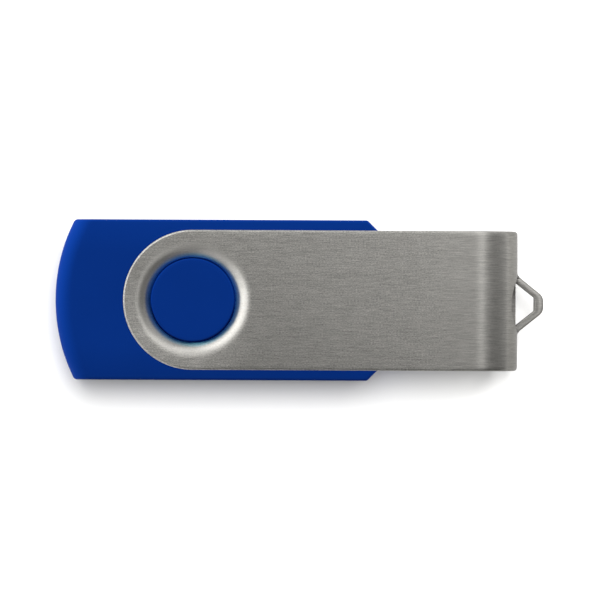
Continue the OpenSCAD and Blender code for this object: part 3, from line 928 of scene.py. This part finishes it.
def housing_plastic():
    """Blue moulded plastic: a fine spark-eroded grain and a soft satin sheen."""
    m = Nodes("housing_plastic")
    grain = m.noise((9 / MM, 9 / MM, 9 / MM), detail=3.0, roughness=0.6)
    cloud = m.noise((0.2 / MM, 0.2 / MM, 0.2 / MM), detail=2.0)
    tone = m.product(m.remap(grain, 0.985, 1.015), m.remap(cloud, 0.98, 1.02))
    m.set(
        Base_Color=m.tint(linear(5, 46, 124), tone),
        Roughness=m.remap(grain, 0.42, 0.5),
        Specular_IOR_Level=0.04,
    )
    m.bump(grain, 0.002 * MM)
    return m.material


def plug_metal():
    """Nickel-plated strip: faint drawing lines along the plug, and soft stains."""
    m = Nodes("plug_metal")
    lines = m.noise((0.3 / MM, 7 / MM, 7 / MM), detail=3.0, roughness=0.6)
    stain = m.noise((0.5 / MM, 0.5 / MM, 0.5 / MM), detail=3.0)
    tone = m.product(m.remap(lines, 0.95, 1.05), m.remap(stain, 0.94, 1.04))
    m.set(
        Base_Color=m.tint((0.74, 0.74, 0.76), tone),
        Metallic=1.0,
        Roughness=m.math("ADD", m.remap(lines, 0.2, 0.27), m.remap(stain, 0.0, 0.07)),
    )
    m.bump(lines, 0.0003 * MM)
    return m.material


def plug_plastic():
    """Glass-filled dark nylon: pale fibre flecks along the flow, under a satin skin."""
    m = Nodes("plug_plastic")
    fleck = m.noise((2.5 / MM, 12 / MM, 12 / MM), detail=3.0, roughness=0.7)
    cloud = m.noise((0.6 / MM, 0.6 / MM, 0.6 / MM))
    tone = m.product(m.remap(fleck, 0.8, 1.3), m.remap(cloud, 0.92, 1.08))
    m.set(Base_Color=m.tint((0.03, 0.03, 0.034), tone), Roughness=m.remap(fleck, 0.38, 0.52))
    m.bump(fleck, 0.002 * MM)
    return m.material


def contact_gold():
    """Gold flash over nickel, rubbed paler in thin lines where a socket's springs slide."""
    m = Nodes("contact_gold")
    rub = m.noise((0.4 / MM, 10 / MM, 10 / MM), detail=2.0)
    stain = m.noise((1.2 / MM, 1.2 / MM, 1.2 / MM), detail=2.0)
    tone = m.product(m.remap(rub, 0.92, 1.07), m.remap(stain, 0.95, 1.04))
    m.set(Base_Color=m.tint((0.86, 0.62, 0.25), tone), Metallic=1.0, Roughness=m.remap(rub, 0.18, 0.3))
    m.bump(rub, 0.0008 * MM)
    return m.material


# Copper tracks of the board: one every pitch, and this share of the pitch wide
TRACE_PITCH = 0.5 * MM
TRACE_SHARE = 0.42


def tracks(m, place):
    """1 on evenly spaced tracks across an axis, 0 between them."""
    share = m.math("FRACT", m.math("DIVIDE", place, TRACE_PITCH))
    return m.math("LESS_THAN", share, TRACE_SHARE)


def board_laminate():
    """Green solder mask with copper tracks under it, over woven glass that shows at the cut edges."""
    m = Nodes("board_laminate")
    field = m.node("TexVoronoi", distance="CHEBYCHEV")
    field.inputs["Scale"].default_value = 1.0
    m.link(m.place((0.35 / MM, 0.5 / MM, 0.01 / MM)), field.inputs["Vector"])
    choice = m.node("SeparateColor")
    m.link(field.outputs["Color"], choice.inputs[0])
    turned = m.math("GREATER_THAN", choice.outputs["Red"], 0.5)
    along = m.product(tracks(m, m.axis("Y")), turned)
    across = m.product(tracks(m, m.axis("X")), m.math("SUBTRACT", 1.0, turned))
    picked = m.math("ADD", along, across)
    poured = m.math("GREATER_THAN", choice.outputs["Green"], 0.8)
    copper = m.math("MAXIMUM", picked, poured)
    cloud = m.noise((1.0 / MM, 1.0 / MM, 1.0 / MM), detail=2.0)
    tone = m.product(m.remap(copper, 0.75, 1.35, 0.0, 1.0), m.remap(cloud, 0.94, 1.06))
    weave = m.noise((9 / MM, 9 / MM, 1.5 / MM), detail=1.0)
    mask = m.tint((0.012, 0.16, 0.06), tone)
    glass = m.tint((0.35, 0.36, 0.2), m.remap(weave, 0.8, 1.2))
    facing = m.node("NewGeometry")
    split = m.node("SeparateXYZ")
    m.link(facing.outputs["True Normal"], split.inputs[0])
    flat = m.math("GREATER_THAN", m.math("ABSOLUTE", split.outputs["Z"]), 0.7)
    m.set(Base_Color=m.mix(flat, glass, mask), Roughness=m.remap(cloud, 0.25, 0.35))
    m.bump(copper, 0.01 * MM)
    return m.material


def solder():
    """Reflowed solder: bright, with a fine frosted grain."""
    m = Nodes("solder")
    frost = m.noise((6 / MM, 6 / MM, 6 / MM), detail=4.0, roughness=0.7)
    m.set(
        Base_Color=m.tint((0.74, 0.75, 0.77), m.remap(frost, 0.9, 1.06)),
        Metallic=1.0,
        Roughness=m.remap(frost, 0.18, 0.4),
    )
    m.bump(frost, 0.006 * MM)
    return m.material


def chip_plastic():
    """Moulding compound: nearly black, speckled, slightly rough from the mould."""
    m = Nodes("chip_plastic")
    speck = m.noise((14 / MM, 14 / MM, 14 / MM), detail=3.0, roughness=0.7)
    cloud = m.noise((0.5 / MM, 0.5 / MM, 0.5 / MM), detail=2.0)
    tone = m.product(m.remap(speck, 0.75, 1.3), m.remap(cloud, 0.93, 1.07))
    m.set(Base_Color=m.tint((0.022, 0.022, 0.025), tone), Roughness=m.remap(speck, 0.5, 0.68))
    m.bump(speck, 0.003 * MM)
    return m.material


def lead_tin():
    """Matte tin plate with faint forming lines."""
    m = Nodes("lead_tin")
    grain = m.noise((7 / MM, 7 / MM, 7 / MM), detail=3.0, roughness=0.6)
    m.set(
        Base_Color=m.tint((0.72, 0.73, 0.75), m.remap(grain, 0.88, 1.08)),
        Metallic=1.0,
        Roughness=m.remap(grain, 0.3, 0.46),
    )
    m.bump(grain, 0.002 * MM)
    return m.material


def ceramic(name, colour, roughness):
    """Fired ceramic in one colour: small pores and a faint mottle."""
    m = Nodes(name)
    pores = m.noise((10 / MM, 10 / MM, 10 / MM), detail=4.0, roughness=0.7)
    mottle = m.noise((2 / MM, 2 / MM, 2 / MM), detail=2.0)
    tone = m.product(m.remap(pores, 0.9, 1.08), m.remap(mottle, 0.93, 1.05))
    m.set(Base_Color=m.tint(colour, tone), Roughness=m.remap(pores, roughness, roughness + 0.15))
    m.bump(pores, 0.003 * MM)
    return m.material


def led_resin():
    """Clear cast resin with a little haze."""
    m = Nodes("led_resin")
    haze = m.noise((2.5 / MM, 2.5 / MM, 2.5 / MM), detail=2.0)
    m.set(
        Base_Color=m.tint((0.8, 0.88, 0.95), m.remap(haze, 0.94, 1.02)),
        Roughness=m.remap(haze, 0.08, 0.2),
        Transmission_Weight=0.7,
        IOR=1.5,
    )
    return m.material


# Brightness of the floor's paper for the camera, for mirror-like rays and for all other light
FLOOR_SEEN = 0.95
FLOOR_MIRRORED = 0.34
FLOOR_LIT = 0.42


def pale_floor():
    """Smooth white paper. The steel and the light that bounces off it see it darker than the camera."""
    m = Nodes("pale_floor")
    paper = m.noise((0.4 / MM, 0.4 / MM, 0.4 / MM), detail=2.0)
    seen = m.node("LightPath")
    unseen = m.remap(seen.outputs["Is Glossy Ray"], FLOOR_LIT, FLOOR_MIRRORED, 0.0, 1.0)
    base = m.math("MAXIMUM", unseen, m.product(seen.outputs["Is Camera Ray"], FLOOR_SEEN))
    m.set(
        Base_Color=m.tint((1.0, 0.996, 0.98), m.product(base, m.remap(paper, 0.998, 1.002))),
        Roughness=0.9,
        Specular_IOR_Level=0.0,
    )
    return m.material


# ---------------------------------------------------------------- pieces that keep their CAD shape

def carried_over(obj, look, width):
    """Rounds the edges of a CAD piece with modifiers and gives it its look."""
    obj.data.materials.clear()
    obj.data.materials.append(look)
    welded = obj.modifiers.new("joined_faces", "WELD")
    welded.merge_threshold = WELD
    merged = obj.modifiers.new("merged_faces", "DECIMATE")
    merged.decimate_type = "DISSOLVE"
    merged.angle_limit = math.radians(0.5)
    rounding = obj.modifiers.new("rounded_edges", "BEVEL")
    rounding.limit_method = "ANGLE"
    rounding.angle_limit = math.radians(40)
    rounding.width = width
    rounding.segments = 2
    even = obj.modifiers.new("even_shading", "WEIGHTED_NORMAL")
    even.keep_sharp = True


# ---------------------------------------------------------------- studio

# Half the floor's side, in metres
FLOOR_HALF = 30.0


def floor():
    bm = bmesh.new()
    corners = [(-1, -1), (1, -1), (1, 1), (-1, 1)]
    bm.faces.new([bm.verts.new((FLOOR_HALF * x, FLOOR_HALF * y, cad_low.z)) for x, y in corners])
    obj = finish_mesh(bm, "floor")
    obj.data.materials.append(pale_floor())
    obj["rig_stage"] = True
    return obj


# Brightness of the room against the angle from straight up, in degrees, towards +X
LIGHT_ALONG = [
    (-90, 1.55), (-40, 1.6), (-25, 1.3), (-13, 0.85), (-5, 0.26), (0, 0.19), (2.5, 0.3),
    (6, 1.35), (10, 0.7), (16, 0.4), (26, 0.28), (40, 0.25), (66, 0.3), (82, 0.4), (90, 0.6),
]
# The same towards +Y, which multiplies the first
LIGHT_ACROSS = [
    (-90, 1.1), (-60, 0.5), (-25, 0.14), (-8, 0.5), (0, 1.0), (8, 1.8), (20, 2.5), (40, 2.4), (90, 1.6),
]
# Largest value in either list, and largest brightness of the room
SWING_TOP = 2.5
ROOM_TOP = 1.6
AMBIENT = 0.36


def swing(t, side, up, stops):
    """Brightness against the angle of a direction from straight up, given as (degrees, value)."""
    curve = t.node("FloatCurve")
    angle = t.math("ARCTAN2", side, up)
    t.link(t.remap(angle, 0.0, 1.0, -math.pi / 2, math.pi / 2), curve.inputs["Value"])
    line = curve.mapping.curves[0]
    curve.mapping.use_clip = False
    places = [((degrees + 90) / 180, value / SWING_TOP) for degrees, value in stops]
    line.points[0].location = places[0]
    line.points[1].location = places[-1]
    for place in places[1:-1]:
        line.points.new(*place)
    for point in line.points:
        point.handle_type = "AUTO_CLAMPED"
    curve.mapping.update()
    return curve.outputs["Value"]


def background(t, strength):
    made = t.node("Background")
    made.inputs["Color"].default_value = (1, 1, 1, 1)
    t.put(strength, made.inputs["Strength"])
    return made.outputs[0]


def choose(t, share, first, second):
    """One background or another."""
    mixed = t.node("MixShader")
    t.link(share, mixed.inputs["Fac"])
    t.link(first, mixed.inputs[1])
    t.link(second, mixed.inputs[2])
    return mixed.outputs[0]


def studio_world():
    """A soft room. Mirror-like rays see its brighter and darker sides, the camera sees plain white,
    and all other light is even."""
    world = bpy.data.worlds.new("studio")
    bpy.context.scene.world = world
    world.use_nodes = True
    world.cycles.sampling_method = "NONE"
    world.node_tree.nodes.clear()
    t = Tree(world.node_tree)
    coordinates = t.node("TexCoord")
    split = t.node("SeparateXYZ")
    t.link(coordinates.outputs["Generated"], split.inputs[0])
    x, y, z = split.outputs
    both = t.product(swing(t, x, z, LIGHT_ALONG), swing(t, y, z, LIGHT_ACROSS), SWING_TOP ** 2)
    room = background(t, t.math("MINIMUM", both, ROOM_TOP))
    path = t.node("LightPath")
    unseen = choose(t, path.outputs["Is Glossy Ray"], background(t, AMBIENT), room)
    seen = choose(t, path.outputs["Is Camera Ray"], unseen, background(t, 1.0))
    t.link(seen, t.node("OutputWorld").inputs["Surface"])


def sun(name, direction, strength, angle, receivers, blockers=None):
    """A soft distant lamp that shines along direction, on the receivers only. Only the blockers,
    if any are named, shade them from it."""
    light = bpy.data.lights.new(name, "SUN")
    light.energy = strength
    light.angle = math.radians(angle)
    obj = bpy.data.objects.new(name, light)
    obj.rotation_mode = "QUATERNION"
    obj.rotation_quaternion = Vector(direction).to_track_quat("-Z", "Y")
    bpy.context.scene.collection.objects.link(obj)
    obj.visible_glossy = False
    obj.light_linking.receiver_collection = collected(name + "_receivers", receivers)
    if blockers:
        obj.light_linking.blocker_collection = collected(name + "_blockers", blockers)


def collected(name, objects):
    group = bpy.data.collections.new(name)
    for obj in objects:
        group.objects.link(obj)
    return group


# The camera looks straight down. FIELD is the width it sees at the housing's top
CAMERA_HEIGHT = 600 * MM
FIELD = 70.74 * MM
SENSOR = 36.0
CAMERA_TURN = math.radians(0.27)
CAMERA_AIM = Vector((0.05, 0.035)) * MM
NEAREST = 10 * MM
FARTHEST = 200.0


def camera():
    data = bpy.data.cameras.new("camera")
    data.sensor_width = SENSOR
    data.lens = SENSOR * CAMERA_HEIGHT / FIELD
    data.clip_start = NEAREST
    data.clip_end = FARTHEST
    obj = bpy.data.objects.new("camera", data)
    centre = (cad_low + cad_high).xy / 2 + CAMERA_AIM
    obj.location = (centre.x, centre.y, housing_top + CAMERA_HEIGHT)
    obj.rotation_euler = (0, 0, CAMERA_TURN)
    bpy.context.scene.collection.objects.link(obj)
    bpy.context.scene.camera = obj


# ---------------------------------------------------------------- scene

clip = swivel_clip()
clip.data.materials.append(clip_metal())
# Keeps the narrow ring groove under the lip from going black
clip.visible_diffuse = False
stand_for(clip, "swivel_clip")

skin = housing_skin()
plastic = housing_plastic()
for node in ("upper_shell", "lower_shell"):
    moulding = shell(node, skin)
    moulding.data.materials.append(plastic)
    stand_for(moulding, node)
bpy.data.objects.remove(skin)

LOOKS = {
    "plug_metal": plug_metal(),
    "plug_plastic": plug_plastic(),
    "contact_gold": contact_gold(),
    "board_laminate": board_laminate(),
    "solder": solder(),
    "chip_plastic": chip_plastic(),
    "lead_tin": lead_tin(),
    "ceramic_pale": ceramic("ceramic_pale", (0.62, 0.58, 0.5), 0.5),
    "ceramic_dark": ceramic("ceramic_dark", (0.03, 0.03, 0.035), 0.2),
    "ceramic_tan": ceramic("ceramic_tan", (0.4, 0.25, 0.12), 0.5),
    "led_resin": led_resin(),
}
# Rounding of the edges of the pieces that keep their CAD shape
EDGE_ROUND = {"plug_shell": 0.06 * MM, "circuit_board": 0.03 * MM, "plug_insulator": 0.08 * MM}
SMALL_EDGE_ROUND = 0.025 * MM
for entry in frame["record"]["subparts"]:
    if entry["material_slot"] in LOOKS:
        node = entry["node"]
        look = LOOKS[entry["material_slot"]]
        carried_over(frame["nodes"][node], look, EDGE_ROUND.get(node, SMALL_EDGE_ROUND))

ground = floor()
studio_world()
camera()
bpy.context.scene.view_settings.view_transform = "Standard"
matt_pieces = [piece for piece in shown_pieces() if piece is not clip]
sun("floor_key", (-0.02, -0.24, -1), 3.3, 36, [ground])
sun("floor_fill", (-1.0, -0.9, -0.8), 1.6, 30, [ground])
sun("object_top", (0, -1, -0.42), 4.0, 20, matt_pieces, matt_pieces)
sun("object_left", (0.99, -0.05, -0.03), 4.2, 16, matt_pieces, matt_pieces)
sun("object_right", (-0.95, 0.1, -0.2), 1.8, 20, matt_pieces, matt_pieces)
